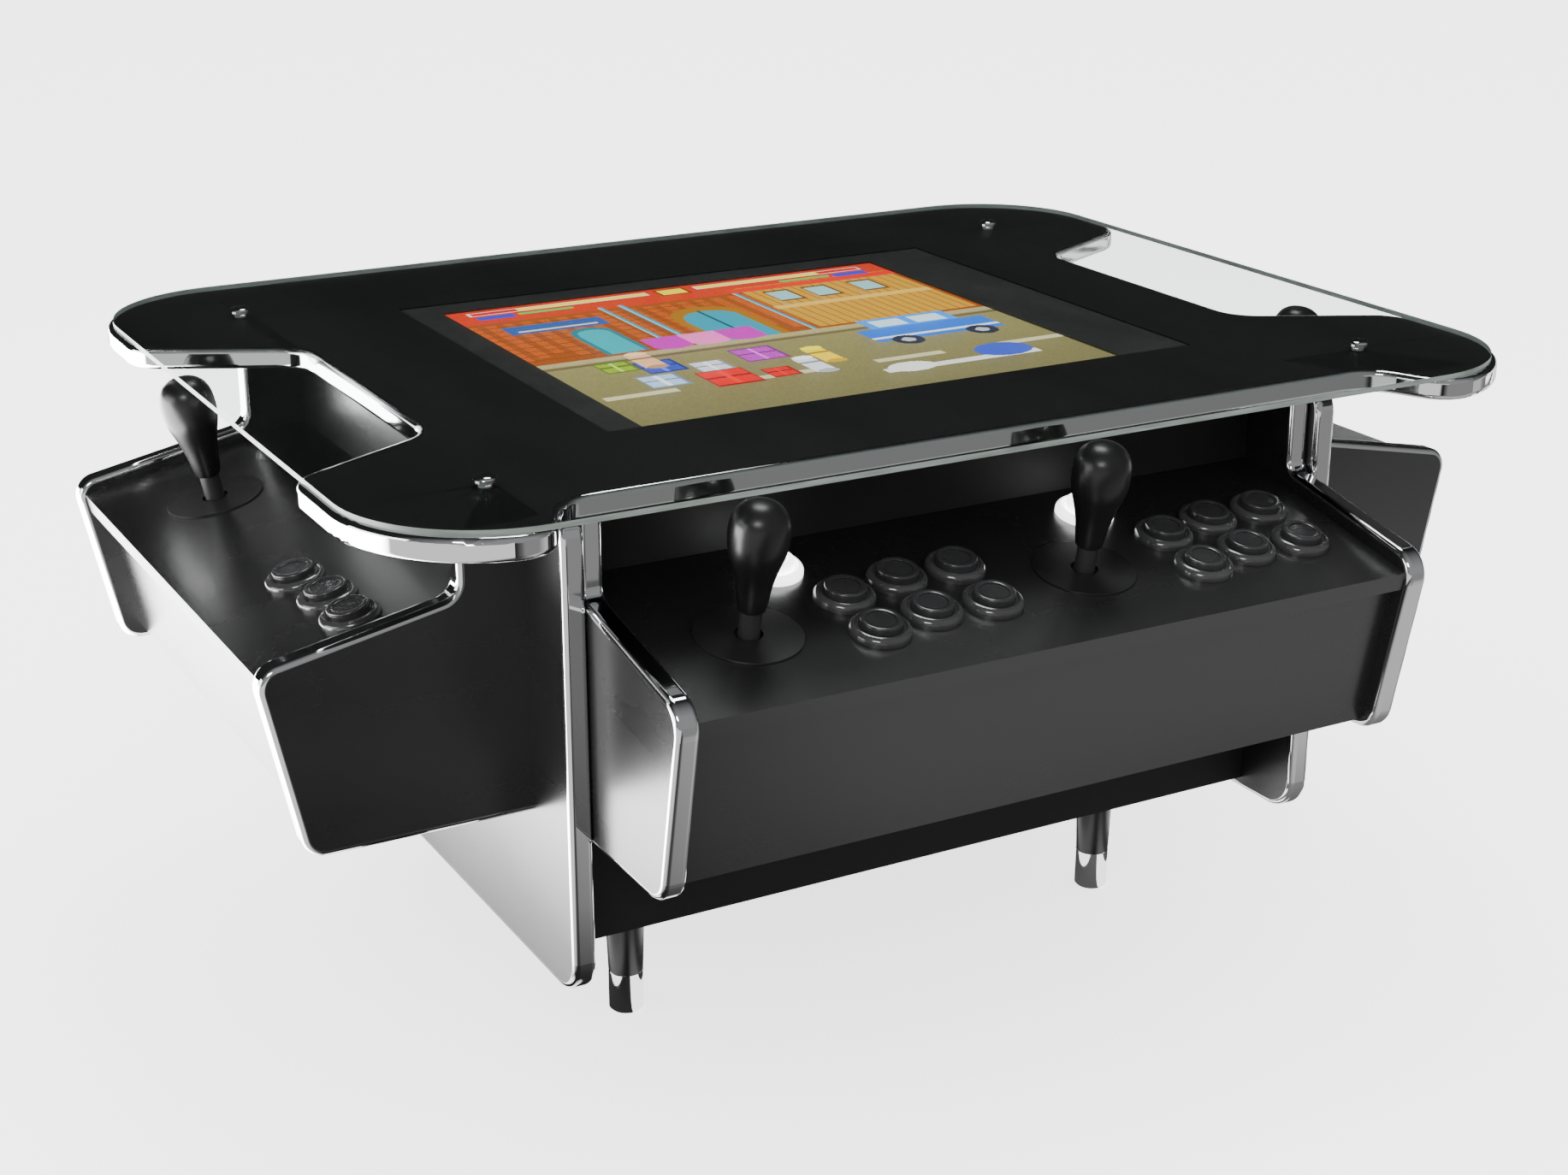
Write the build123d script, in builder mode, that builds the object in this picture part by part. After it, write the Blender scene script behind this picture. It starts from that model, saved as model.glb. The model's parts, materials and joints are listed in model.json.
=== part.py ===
from build123d import *
import os
from math import atan, cos, radians, sin, tan

# Cocktail table cabinet for four players: a glass-topped table with a flat monitor, one long
# control box on the front and a short one on each end, on four short tapered legs.
# Millimetres. +Z is up, -Y is the front, and z = 0 is the floor. Each control box is drawn in a
# profile of its own: d is the distance out from the wall that it hangs on, z is the height.

# --- overall -------------------------------------------------------------------------------
HEIGHT = 418.0             # floor to the upper face of the glass
TOP_Y = 22.15              # centre of the tabletop behind the centre of the whole footprint
TOP_LENGTH = 808.0
TOP_DEPTH = 630.0
TOP_CORNER_R = 90.0
GLASS_T = 4.0
BOARD_T = 15.0             # tabletop, cabinet sides and box side plates
PANEL_T = 12.0             # walls, floors and control panels
EDGE_BULGE = 4.0           # how far the chrome edge molding stands out of a board's edge
EDGE_ROUND = 3.8
BARB_T = 1.6               # tongue of the molding, pressed into a groove in the edge
BARB_DEPTH = 8.0

BOARD_TOP = HEIGHT - GLASS_T
BOARD_BOTTOM = BOARD_TOP - BOARD_T

# --- cut-outs of the wooden tabletop, from the tabletop's centre ------------------------------
FRONT_CUT_Y = -265.0       # inner edge of the front cut-out
FRONT_CUT_HALF = 292.0
FRONT_CUT_FLARE = 0.46     # sideways run of the cut-out's ends per unit of depth
END_CUT_X = 301.5          # inner edge of the two end cut-outs
END_CUT_FRONT = -111.0
END_CUT_BACK = 122.0
END_CUT_FLARE = 0.52
CUT_INNER_R = 34.0
CUT_OUTER_R = 24.0

# --- monitor, from the tabletop's centre ------------------------------------------------------
OPENING_X = (-210.0, 226.0)
OPENING_Y = (-162.0, 194.0)
PICTURE_X = (-186.0, 169.0)
PICTURE_Y = (-159.0, 170.0)
PICTURE_DROP = 2.4         # screen surface below the underside of the glass
BEZEL_T = 1.6
MONITOR_GAP = 1.0
MONITOR_BACK = (300.0, 180.0, 34.0)
STRAP = (490.0, 25.0, 3.0)
STRAP_Y = 110.0

# --- glass screws -------------------------------------------------------------------------
SCREW_X = 316.0
SCREW_Y = 227.0
SCREW_CAP_R = 7.0
SCREW_CAP_H = 3.0
SCREW_CAP_EDGE = 0.8
SCREW_SHANK_R = 2.5
SCREW_LENGTH = 16.0
GLASS_HOLE_R = 4.0

# --- cabinet ------------------------------------------------------------------------------
SIDE_X = 281.0             # outer face of the cabinet sides
SIDE_FRONT = TOP_Y - 246.0
SIDE_BACK = TOP_Y + 240.0
SIDE_BOTTOM = 93.0
WALL_BOTTOM = 97.0
SIDE_CORNER_R = 20.0
FRONT_WALL = TOP_Y - 196.0     # outer face of the front wall
BACK_WALL = TOP_Y + 225.0      # outer face of the back panel
FLOOR_BOTTOM = 103.0
WIRE_HOLE_R = 20.0
WIRE_HOLE_Z = 265.0
VENT_SLOT = (110.0, 6.0)
VENT_PITCH = 16.0
VENT_COUNT = 5
VENT_Z = 290.0

# --- control boxes: outline of the side plates in (d, z) ----------------------------------------
SLOPE = atan(0.2035)       # fall of the panels towards the player
PLATE_STEP = 41.5          # width of the plate's upright part, up to the tabletop
PLATE_CORNER = (166.0, 313.5)
PLATE_BOTTOM = 193.0
PLATE_CORNER_R = 15.0
PLATE_INNER_R = 12.0
END_INSET = 4.0            # the end boxes' plates are this much smaller all round
PANEL_DROP = {"front": 7.4, "left": 9.4, "right": 9.4}          # panel surface below the outline
PANEL_BACKSET = {"front": 0.8, "left": 4.8, "right": 4.8}       # panel front edge behind it
FASCIA_BACKSET = {"front": 9.0, "left": 16.6, "right": 16.6}    # fascia's face behind it
BOX_FLOOR_BOTTOM = {"front": 195.0, "left": 198.0, "right": 198.0}
FRONT_HALF = SIDE_X - 2 * BOARD_T     # half of the front box between its plates
END_HALF = 195.0                      # half of an end box between its plates
END_Y = {"left": TOP_Y + 15.0, "right": TOP_Y + 23.0}     # middle of each end box

# --- buttons ------------------------------------------------------------------------------
BUTTON_HOLE_R = 15.0
BEZEL_R = 19.1
BARREL_R = 14.9
BARREL_DEPTH = 30.0
BUTTON_BORE_R = 13.08
PLUNGER_R = 13.0
PLUNGER_TOP = 9.6
PLUNGER_SKIRT = 16.0
PLUNGER_WALL = 1.6
PLUNGER_STEM_R = 3.0
STEM_BOTTOM = 29.5         # below the panel's surface
STEM_HOLE_R = 3.4
BUTTON_FLOOR_T = 3.0
NUT_R = 19.0
NUT_T = 6.0
SWITCH_SIZE = (20.0, 6.5, 10.0)
SWITCH_TOP = 33.0
SWITCH_ARM = (8.0, 2.0, 11.0)

# --- joysticks: heights h are measured out of the panel's surface ----------------------------
PIVOT_H = -5.0
STICK_HOLE_R = 15.0
WASHER_R = 32.8
WASHER_T = 1.2
WASHER_HOLE_R = 8.6
SHAFT_R = 6.6
SHAFT_LOWER_R = 4.75
SHAFT_STEP_H = -9.5
SHAFT_BOTTOM_H = -43.0
ACTUATOR_R = 8.0
ACTUATOR_T = 8.0
CROSS_PIN_R = 1.5
PIN_CLEARANCE = 0.05
GIMBAL_OUTER_R = 11.0
GIMBAL_INNER_R = 8.0
GIMBAL_T = 5.0
BOSS_INNER_R = 12.0
BOSS_OUTER_R = 14.5
BOSS_TOP_H = -1.5
BASE_PLATE = (86.0, 58.0, 2.5)
BASE_BOX = 52.0
BASE_WALL = 3.0
BASE_DEPTH = 38.0
GATE_R = 18.0
HANDLE_BOTTOM_H = 17.7
HANDLE_SOCKET_H = 60.0
HANDLE_FOOT_R = 8.6
HANDLE_NECK = (11.7, 38.0)
HANDLE_SHOULDER = (15.2, 50.0)
HANDLE_WIDEST = (18.1, 66.5)
HANDLE_CROWN = (14.8, 81.0)
HANDLE_TOP_H = 87.5

# --- legs ------------------------------------------------------------------------------------
LEG_X = 190.0
LEG_Y = (TOP_Y - 125.0, TOP_Y + 155.0)
LEG_TOP_R = 14.2
LEG_FOOT_R = 11.7          # at the top of the ferrule
LEG_TIP_R = 10.4           # inside the ferrule
FERRULE_H = 29.0
FERRULE_R = 11.8
FERRULE_FLOOR_T = 2.0
LEG_PLATE = (56.0, 3.0)    # side and thickness of the steel mounting plate

# --- inner units ----------------------------------------------------------------------------
SUPPLY_SIZE = (130.0, 95.0, 50.0)
SUPPLY_AT = (150.0, TOP_Y + 120.0)
GAME_BOARD_SIZE = (170.0, 170.0, 1.6)
GAME_BOARD_AT = (-60.0, TOP_Y + 40.0)
STANDOFF_H = 8.0
STANDOFF_R = 4.0
STANDOFF_INSET = 8.0
CHIP_ROWS = (-45.0, 5.0, 50.0)
CHIP_SIZE = (26.0, 26.0, 3.5)

UP = Vector(0, 0, 1)


def station(origin, outward):
    """Plane of a box's profile: x is d, y is z, and its normal runs to the player's left."""
    return Plane(origin=origin, x_dir=outward, z_dir=Vector(*outward).cross(UP))


STATIONS = {
    "front": station((0, FRONT_WALL, 0), (0, -1, 0)),
    "left": station((-SIDE_X, END_Y["left"], 0), (-1, 0, 0)),
    "right": station((SIDE_X, END_Y["right"], 0), (1, 0, 0)),
}
HALF_LENGTHS = {"front": FRONT_HALF, "left": END_HALF, "right": END_HALF}


def slope_z(d, drop=0.0):
    """Height of the outline's sloping edge at d, or of a line that far below it."""
    return PLATE_CORNER[1] + (PLATE_CORNER[0] - d) * tan(SLOPE) - drop / cos(SLOPE)


def front_d(z, backset=0.0):
    """Distance out of the outline's front edge at height z, or of a line that far behind it."""
    return PLATE_CORNER[0] - (PLATE_CORNER[1] - z) * tan(SLOPE) - backset / cos(SLOPE)


def meeting(drop, backset):
    """Where a line below the sloping edge meets a line behind the front edge."""
    return (
        PLATE_CORNER[0] - backset * cos(SLOPE) - drop * sin(SLOPE),
        PLATE_CORNER[1] + backset * sin(SLOPE) - drop * cos(SLOPE),
    )


PANEL_EDGE = {box: meeting(PANEL_DROP[box], PANEL_BACKSET[box]) for box in STATIONS}


def panel_plane(name):
    """Panel surface of a box: origin on its front edge, x to the player's right, y uphill."""
    profile = STATIONS[name]
    origin = profile.from_local_coords(Vector(*PANEL_EDGE[name], 0))
    uphill = profile.x_dir * -cos(SLOPE) + UP * sin(SLOPE)
    right = profile.z_dir * -1
    return Plane(origin=origin, x_dir=right, z_dir=right.cross(uphill))


# Controls of each box: (across to the player's right, uphill from the panel's front edge).
STICKS = {
    "p1": ("front", -182.5, 72.6),
    "p2": ("front", 52.6, 72.6),
    "p3": ("left", -103.8, 68.0),
    "p4": ("right", -103.8, 68.0),
}
SIX_BUTTONS = ((74.0, 91.0), (115.0, 99.0), (157.0, 99.5), (75.0, 50.0), (115.0, 58.0), (157.0, 56.0))
THREE_BUTTONS = ((184.1, -5.0), (227.3, 1.0), (266.4, 1.5))
START_BUTTON = {"p1": (48.0, 134.0), "p2": (42.0, 134.0)}

BUTTONS = {}
for player in ("p1", "p2"):
    box, across, uphill = STICKS[player]
    for number, (dx, dy) in enumerate(SIX_BUTTONS, start=1):
        BUTTONS[f"{player}_{number}"] = (box, across + dx, dy)
for player in ("p3", "p4"):
    box, across, uphill = STICKS[player]
    for number, (dx, dy) in enumerate(THREE_BUTTONS, start=1):
        BUTTONS[f"{player}_{number}"] = (box, across + dx, uphill + dy)
START_BUTTONS = {}
for player, (dx, dy) in START_BUTTON.items():
    box, across, uphill = STICKS[player]
    START_BUTTONS[f"{player}_start"] = (box, across + dx, dy)
ALL_BUTTONS = {**BUTTONS, **START_BUTTONS}


def control_plane(place):
    """Plane on the panel's surface at one control."""
    box, across, uphill = place
    base = panel_plane(box)
    return Plane(origin=base.from_local_coords(Vector(across, uphill, 0)), x_dir=base.x_dir, z_dir=base.z_dir)


def save(part, name):
    part.label = name
    export_step(part, f"parts/{name}.step")


def save_group(solids, name):
    """Several separate solids written as one node."""
    group = Compound(label=name, children=solids)
    export_step(group, f"parts/{name}.step")


def copies(shape, places):
    """One copy of a shape at each control."""
    return [control_plane(place).location * shape for place in places]


def face_of(points, radii=()):
    """Closed outline through points; radii lists (corner, radius) pairs to round off."""
    with BuildSketch() as sketch:
        with BuildLine():
            Polyline(*points, close=True)
        make_face()
        for corner, radius in radii:
            near = sketch.vertices().sort_by_distance((*corner, 0))[0]
            fillet(near, radius)
    return sketch.sketch


def molded_board(outline, keep, plane):
    """A board and the molding on its edge; keep bounds both, so that bare edges stay bare."""
    barb_plane = plane.offset((BOARD_T - BARB_T) / 2)
    with BuildSketch() as groove:
        add(outline)
        offset(outline, amount=-BARB_DEPTH, mode=Mode.SUBTRACT)
        add(keep, mode=Mode.INTERSECT)
    with BuildSketch() as band:
        offset(outline, amount=EDGE_BULGE)
        add(outline, mode=Mode.SUBTRACT)
        add(keep, mode=Mode.INTERSECT)
    with BuildPart() as board:
        with BuildSketch(plane):
            add(outline)
            add(keep, mode=Mode.INTERSECT)
        extrude(amount=BOARD_T)
        with BuildSketch(barb_plane):
            add(groove.sketch)
        extrude(amount=BARB_T, mode=Mode.SUBTRACT)
    with BuildPart() as molding:
        with BuildSketch(plane):
            add(band.sketch)
        extrude(amount=BOARD_T)
        rim = [
            edge for edge in molding.edges()
            if abs((edge @ 1 - edge @ 0).dot(plane.z_dir)) < 1
            and board.part.distance_to(edge @ 0.5) > EDGE_BULGE - 0.5
        ]
        fillet(rim, EDGE_ROUND)
        with BuildSketch(barb_plane):
            add(groove.sketch)
        extrude(amount=BARB_T)
    return board.part, molding.part


os.makedirs("parts", exist_ok=True)

# =============================================================================================
# Tabletop: glass, wooden board with its three cut-outs, molding and screws
# =============================================================================================
CENTRE = Plane(origin=(0, TOP_Y, 0))
BEYOND = 60.0              # the cut-outs are drawn this far past the tabletop's edge
FRONT_EDGE = -TOP_DEPTH / 2
END_EDGE = TOP_LENGTH / 2
CAP_PLACES = GridLocations(2 * SCREW_X, 2 * SCREW_Y, 2, 2)


def end_cut(side):
    """One end cut-out; side is -1 for the left end and 1 for the right."""
    flare = (END_EDGE + BEYOND - END_CUT_X) * END_CUT_FLARE
    return (
        (side * END_CUT_X, END_CUT_FRONT),
        (side * END_CUT_X, END_CUT_BACK),
        (side * (END_EDGE + BEYOND), END_CUT_BACK + flare),
        (side * (END_EDGE + BEYOND), END_CUT_FRONT - flare),
    )


def front_cut():
    flare = (BEYOND - FRONT_EDGE + FRONT_CUT_Y) * FRONT_CUT_FLARE
    return (
        (-FRONT_CUT_HALF, FRONT_CUT_Y),
        (FRONT_CUT_HALF, FRONT_CUT_Y),
        (FRONT_CUT_HALF + flare, FRONT_EDGE - BEYOND),
        (-FRONT_CUT_HALF - flare, FRONT_EDGE - BEYOND),
    )


with BuildSketch() as board_outline:
    RectangleRounded(TOP_LENGTH, TOP_DEPTH, TOP_CORNER_R)
    for corners in (end_cut(-1), end_cut(1), front_cut()):
        with BuildLine():
            Polyline(*corners, close=True)
        make_face(mode=Mode.SUBTRACT)
    inner_corners = [
        v for v in board_outline.vertices()
        if (abs(v.X) < END_CUT_X + 1 and abs(v.Y) < END_CUT_BACK + 1)
        or (abs(v.X) < FRONT_CUT_HALF + 1 and v.Y < FRONT_CUT_Y + 1)
    ]
    fillet(inner_corners, CUT_INNER_R)
    outer_corners = [
        v for v in board_outline.vertices()
        if (abs(v.X) > END_EDGE - 1 and abs(v.Y) < END_CUT_BACK + CUT_INNER_R + 30)
        or v.Y < FRONT_EDGE + 1
    ]
    fillet(outer_corners, CUT_OUTER_R)

with BuildSketch() as everywhere:
    Rectangle(2 * TOP_LENGTH, 2 * TOP_DEPTH)

board, molding = molded_board(board_outline.sketch, everywhere.sketch, CENTRE.offset(BOARD_BOTTOM))
opening_centre = (sum(OPENING_X) / 2, sum(OPENING_Y) / 2)
opening_size = (OPENING_X[1] - OPENING_X[0], OPENING_Y[1] - OPENING_Y[0])
with BuildPart() as tabletop_board:
    add(board)
    with BuildSketch(CENTRE.offset(BOARD_BOTTOM)):
        with Locations(opening_centre):
            Rectangle(*opening_size)
    extrude(amount=BOARD_T, mode=Mode.SUBTRACT)
    with BuildSketch(CENTRE.offset(BOARD_TOP)):
        with CAP_PLACES:
            Circle(SCREW_SHANK_R)
    extrude(amount=GLASS_T - SCREW_LENGTH, mode=Mode.SUBTRACT)
save(tabletop_board.part, "tabletop_board")
save(molding, "tabletop_molding")

with BuildPart() as glass_top:
    with BuildSketch(CENTRE.offset(BOARD_TOP)):
        RectangleRounded(TOP_LENGTH, TOP_DEPTH, TOP_CORNER_R)
        with CAP_PLACES:
            Circle(GLASS_HOLE_R, mode=Mode.SUBTRACT)
    extrude(amount=GLASS_T)
    chamfer(glass_top.faces().sort_by(Axis.Z)[-1].outer_wire().edges(), 0.6)
save(glass_top.part, "glass_top")

with BuildPart() as glass_screw:
    with BuildSketch(Plane.XZ):
        with BuildLine():
            Polyline(
                (0, SCREW_CAP_H),
                (0, -SCREW_LENGTH),
                (SCREW_SHANK_R, -SCREW_LENGTH),
                (SCREW_SHANK_R, 0),
                (SCREW_CAP_R, 0),
                (SCREW_CAP_R, SCREW_CAP_EDGE),
            )
            Spline((SCREW_CAP_R, SCREW_CAP_EDGE), (0, SCREW_CAP_H), tangents=((-0.3, 1), (-1, 0)))
        make_face()
    revolve(axis=Axis.Z)
save_group(
    [CENTRE.offset(HEIGHT).location * place * glass_screw.part for place in CAP_PLACES],
    "glass_screws",
)

# =============================================================================================
# Monitor: panel in the tabletop's opening, bezel on top, chassis and straps below
# =============================================================================================
PICTURE_Z = BOARD_TOP - PICTURE_DROP
picture_centre = (sum(PICTURE_X) / 2, sum(PICTURE_Y) / 2)
picture_size = (PICTURE_X[1] - PICTURE_X[0], PICTURE_Y[1] - PICTURE_Y[0])
panel_size = (opening_size[0] - 2 * MONITOR_GAP, opening_size[1] - 2 * MONITOR_GAP)

with BuildPart() as lcd_panel:
    with BuildSketch(CENTRE.offset(BOARD_BOTTOM)):
        with Locations(opening_centre):
            Rectangle(*panel_size)
    extrude(amount=PICTURE_Z - BOARD_BOTTOM)
save(lcd_panel.part, "lcd_panel")

with BuildPart() as monitor_bezel:
    with BuildSketch(CENTRE.offset(PICTURE_Z)):
        with Locations(opening_centre):
            Rectangle(*panel_size)
        with Locations(picture_centre):
            Rectangle(*picture_size, mode=Mode.SUBTRACT)
    extrude(amount=BEZEL_T)
save(monitor_bezel.part, "monitor_bezel")

with BuildPart() as monitor_chassis:
    with BuildSketch(CENTRE.offset(BOARD_BOTTOM)):
        with Locations(opening_centre):
            RectangleRounded(MONITOR_BACK[0], MONITOR_BACK[1], 6)
    extrude(amount=-MONITOR_BACK[2])
    with BuildSketch(CENTRE.offset(BOARD_BOTTOM - MONITOR_BACK[2])):
        with Locations(opening_centre):
            with GridLocations(0, VENT_PITCH, 1, VENT_COUNT):
                SlotOverall(VENT_SLOT[0], VENT_SLOT[1])
    extrude(amount=3, mode=Mode.SUBTRACT)
save(monitor_chassis.part, "monitor_chassis")

with BuildPart() as strap:
    with BuildSketch():
        Rectangle(STRAP[0], STRAP[1])
        with GridLocations(STRAP[0] - 16, 0, 2, 1):
            Circle(2.5, mode=Mode.SUBTRACT)
    extrude(amount=-STRAP[2])
save_group(
    [
        CENTRE.offset(BOARD_BOTTOM).location
        * Location((opening_centre[0], opening_centre[1] + side * STRAP_Y, 0)) * strap.part
        for side in (-1, 1)
    ],
    "monitor_straps",
)

# =============================================================================================
# Cabinet: two sides, front wall, back panel and floor
# =============================================================================================
INNER_X = SIDE_X - BOARD_T
with BuildSketch() as side_outline:
    with Locations(((SIDE_FRONT + SIDE_BACK) / 2, (SIDE_BOTTOM + BOARD_BOTTOM) / 2)):
        RectangleRounded(SIDE_BACK - SIDE_FRONT, BOARD_BOTTOM - SIDE_BOTTOM, SIDE_CORNER_R)
with BuildSketch() as side_keep:
    with Locations(((SIDE_FRONT + SIDE_BACK) / 2, BOARD_BOTTOM)):
        Rectangle(2 * TOP_DEPTH, 2 * BOARD_BOTTOM, align=(Align.CENTER, Align.MAX))
    with Locations(((SIDE_FRONT + SIDE_BACK) / 2, BOARD_BOTTOM)):
        Rectangle(
            SIDE_BACK - SIDE_FRONT - 2 * SIDE_CORNER_R, 0.5,
            align=(Align.CENTER, Align.MIN), mode=Mode.SUBTRACT,
        )

side_boards = []
plate_moldings = []
for x, box in ((-SIDE_X, "left"), (INNER_X, "right")):
    board, molding = molded_board(side_outline.sketch, side_keep.sketch, Plane.YZ.offset(x))
    with BuildPart() as side_board:
        add(board)
        with BuildSketch(Plane.YZ.offset(x)):
            with Locations((END_Y[box], WIRE_HOLE_Z)):
                Circle(WIRE_HOLE_R)
        extrude(amount=BOARD_T, mode=Mode.SUBTRACT)
    side_boards.append(side_board.part)
    plate_moldings.append(molding)
save_group(side_boards, "side_boards")

with BuildPart() as front_wall:
    with BuildSketch(Plane.XZ.offset(-FRONT_WALL)):
        with Locations((0, (WALL_BOTTOM + BOARD_BOTTOM) / 2)):
            Rectangle(2 * INNER_X, BOARD_BOTTOM - WALL_BOTTOM)
        with Locations((0, WIRE_HOLE_Z)):
            Circle(WIRE_HOLE_R, mode=Mode.SUBTRACT)
    extrude(amount=-PANEL_T)
save(front_wall.part, "front_wall")

with BuildPart() as back_panel:
    with BuildSketch(Plane.XZ.offset(-BACK_WALL)):
        with Locations((0, (WALL_BOTTOM + BOARD_BOTTOM) / 2)):
            Rectangle(2 * INNER_X, BOARD_BOTTOM - WALL_BOTTOM)
        with Locations((0, VENT_Z)):
            with GridLocations(0, VENT_PITCH, 1, VENT_COUNT):
                SlotOverall(*VENT_SLOT, mode=Mode.SUBTRACT)
    extrude(amount=PANEL_T)
save(back_panel.part, "back_panel")

with BuildPart() as floor_board:
    floor_front = FRONT_WALL + PANEL_T
    floor_back = BACK_WALL - PANEL_T
    with BuildSketch(Plane.XY.offset(FLOOR_BOTTOM)):
        with Locations((0, (floor_front + floor_back) / 2)):
            Rectangle(2 * INNER_X, floor_back - floor_front)
    extrude(amount=PANEL_T)
save(floor_board.part, "floor_board")

# =============================================================================================
# Control boxes: side plates, panel, fascia and floor
# =============================================================================================
BEHIND = 100.0             # the plates' outline is drawn this far past its bare edges
step_top = (PLATE_STEP, slope_z(PLATE_STEP))
plate_foot = (front_d(PLATE_BOTTOM), PLATE_BOTTOM)
plate_outline = face_of(
    (
        (-BEHIND, PLATE_BOTTOM),
        plate_foot,
        PLATE_CORNER,
        step_top,
        (PLATE_STEP, BOARD_BOTTOM + BEHIND),
        (-BEHIND, BOARD_BOTTOM + BEHIND),
    ),
    ((plate_foot, PLATE_CORNER_R), (PLATE_CORNER, PLATE_CORNER_R), (step_top, PLATE_INNER_R)),
)
with BuildSketch() as end_outline:
    offset(plate_outline, amount=-END_INSET)
PLATE_OUTLINES = {"front": plate_outline, "left": end_outline.sketch, "right": end_outline.sketch}
plate_keep = face_of(((0, 0), (2 * BEHIND, 0), (2 * BEHIND, BOARD_BOTTOM), (0, BOARD_BOTTOM)))


def panel_section(box):
    drop, backset = PANEL_DROP[box], PANEL_BACKSET[box]
    return face_of(
        (
            PANEL_EDGE[box],
            (0, slope_z(0, drop)),
            (0, slope_z(0, drop + PANEL_T)),
            meeting(drop + PANEL_T, backset),
        )
    )


def fascia_section(box):
    underside, bottom = PANEL_DROP[box] + PANEL_T, BOX_FLOOR_BOTTOM[box]
    outer, inner = FASCIA_BACKSET[box], FASCIA_BACKSET[box] + PANEL_T
    return face_of(
        (
            meeting(underside, outer),
            meeting(underside, inner),
            (front_d(bottom, inner), bottom),
            (front_d(bottom, outer), bottom),
        )
    )


def box_floor_section(box):
    inner, bottom = FASCIA_BACKSET[box] + PANEL_T, BOX_FLOOR_BOTTOM[box]
    top = bottom + PANEL_T
    return face_of(((0, bottom), (front_d(bottom, inner), bottom), (front_d(top, inner), top), (0, top)))


def between_plates(section, box):
    """A board that runs from one side plate of a box to the other."""
    half = HALF_LENGTHS[box]
    with BuildPart() as run:
        with BuildSketch(STATIONS[box].offset(-half)):
            add(section)
        extrude(amount=2 * half)
    return run.part


box_plates = []
box_boards = []
panels = {}
for box, half in HALF_LENGTHS.items():
    for inner_face in (half, -half - BOARD_T):
        board, molding = molded_board(
            PLATE_OUTLINES[box], plate_keep, STATIONS[box].offset(inner_face)
        )
        box_plates.append(board)
        plate_moldings.append(molding)
    box_boards += [between_plates(section(box), box) for section in (fascia_section, box_floor_section)]
    with BuildPart() as panel:
        add(between_plates(panel_section(box), box))
        for place in ALL_BUTTONS.values():
            if place[0] == box:
                with BuildSketch(control_plane(place)):
                    Circle(BUTTON_HOLE_R)
                extrude(amount=2 * PANEL_T, both=True, mode=Mode.SUBTRACT)
        for place in STICKS.values():
            if place[0] == box:
                with BuildSketch(control_plane(place)):
                    Circle(STICK_HOLE_R)
                extrude(amount=2 * PANEL_T, both=True, mode=Mode.SUBTRACT)
    panels[box] = panel.part
save_group(box_plates, "box_side_plates")
save_group(plate_moldings, "plate_molding")
save(panels["front"], "front_box_panel")
save_group([panels["left"], panels["right"]], "end_box_panels")
save_group(box_boards, "box_boards")

# =============================================================================================
# Buttons, drawn on a control's own plane: z = 0 is the panel's surface
# =============================================================================================
BARREL_BOTTOM = -BARREL_DEPTH
with BuildPart() as button_housing:
    with BuildSketch(Plane.XZ):
        with BuildLine():
            Polyline(
                (BUTTON_BORE_R, 4.2),
                (BUTTON_BORE_R, BARREL_BOTTOM + BUTTON_FLOOR_T),
                (STEM_HOLE_R, BARREL_BOTTOM + BUTTON_FLOOR_T),
                (STEM_HOLE_R, BARREL_BOTTOM),
                (BARREL_R, BARREL_BOTTOM),
                (BARREL_R, 0),
                (BEZEL_R, 0),
                (BEZEL_R, 1.6),
            )
            Spline(
                (BEZEL_R, 1.6), (BEZEL_R - 1.6, 4.9), (BEZEL_R - 3.4, 5.6),
                tangents=((0, 1), (-1, 0)),
            )
            Polyline((BEZEL_R - 3.4, 5.6), (BEZEL_R - 4.2, 4.6), (BUTTON_BORE_R + 0.5, 4.6), (BUTTON_BORE_R, 4.2))
        make_face()
    revolve(axis=Axis.Z)
    with BuildSketch(Plane.XY.offset(BARREL_BOTTOM)):
        with GridLocations(0, SWITCH_SIZE[1] + SWITCH_ARM[1], 1, 2):
            Rectangle(SWITCH_ARM[0], SWITCH_ARM[1])
    extrude(amount=-SWITCH_ARM[2])
save_group(copies(button_housing.part, BUTTONS.values()), "button_housings")
save_group(copies(button_housing.part, START_BUTTONS.values()), "start_button_housings")

with BuildPart() as button_nut:
    with BuildSketch(Plane.XY.offset(-PANEL_T)):
        RegularPolygon(NUT_R, 6)
        Circle(BARREL_R, mode=Mode.SUBTRACT)
    extrude(amount=-NUT_T)
save_group(copies(button_nut.part, ALL_BUTTONS.values()), "button_nuts")

with BuildPart() as plunger:
    with BuildSketch(Plane.XZ):
        skirt_r = PLUNGER_R - PLUNGER_WALL
        with BuildLine():
            Polyline(
                (0, PLUNGER_TOP - 1.0),
                (0, -STEM_BOTTOM),
                (PLUNGER_STEM_R, -STEM_BOTTOM),
                (PLUNGER_STEM_R, PLUNGER_TOP - 4),
                (skirt_r, PLUNGER_TOP - 4),
                (skirt_r, -PLUNGER_SKIRT),
                (PLUNGER_R, -PLUNGER_SKIRT),
                (PLUNGER_R, PLUNGER_TOP - 1.4),
            )
            Spline(
                (PLUNGER_R, PLUNGER_TOP - 1.4),
                (PLUNGER_R - 1.4, PLUNGER_TOP),
                (PLUNGER_R - 4, PLUNGER_TOP - 0.4),
                (0, PLUNGER_TOP - 1.0),
                tangents=((0, 1), (-1, 0)),
            )
        make_face()
    revolve(axis=Axis.Z)
for name, place in ALL_BUTTONS.items():
    save(control_plane(place).location * plunger.part, f"button_{name}")

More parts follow.
